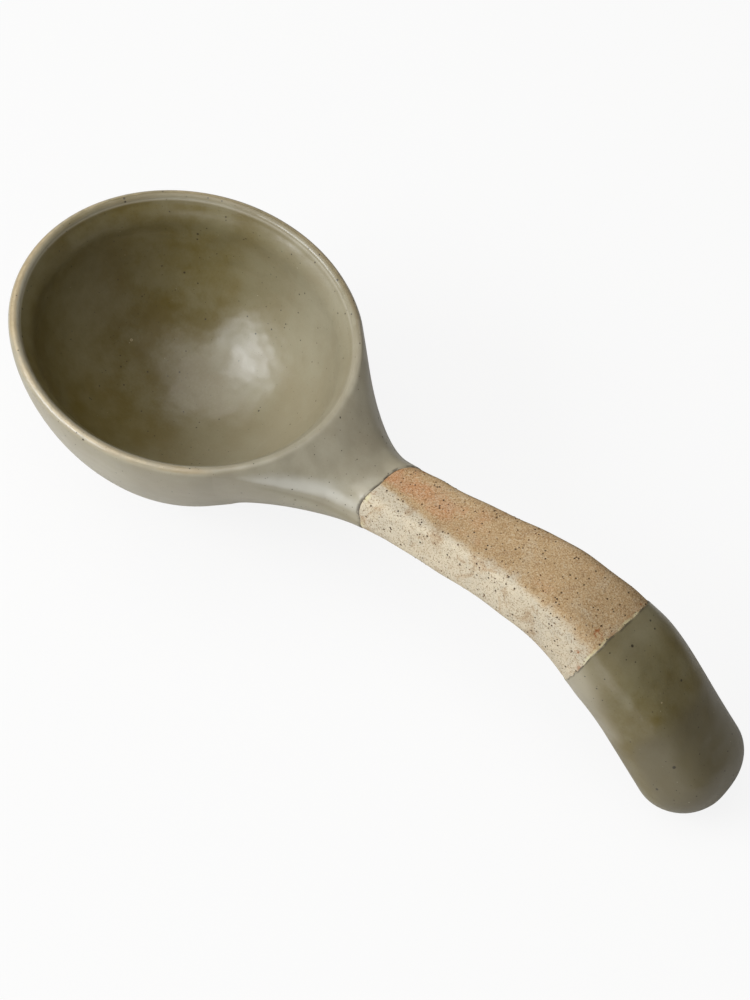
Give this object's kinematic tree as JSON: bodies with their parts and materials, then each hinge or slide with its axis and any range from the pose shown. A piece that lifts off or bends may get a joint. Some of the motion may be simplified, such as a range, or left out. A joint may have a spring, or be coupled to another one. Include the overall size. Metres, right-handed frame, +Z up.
{
  "type": "ceramic serving spoon",
  "caption": "Ladle-like stoneware spoon: round deep bowl, flared neck and arched carved handle with a bare clay band between olive satin glaze coats.",
  "frame": {"origin": "centre of the flat bare foot under the bowl, on the plane the spoon rests on", "axes": "+X along the handle towards its end, +Z up out of the bowl, square to the level rim; the spoon is a mirror image of itself across Y = 0"},
  "size_m": [0.1739, 0.0676, 0.0434],
  "materials": {
    "bare_stoneware": "unglazed speckled stoneware, matt, cream to toasted tan",
    "olive_satin_glaze": "satin olive-grey glaze with iron specks, thinner and browner on the rim"
  },
  "bodies": {
    "root": {"clay_bowl": "bare_stoneware", "clay_handle": "bare_stoneware", "bowl_glaze": "olive_satin_glaze", "handle_end_glaze": "olive_satin_glaze"}
  },
  "joints": []
}
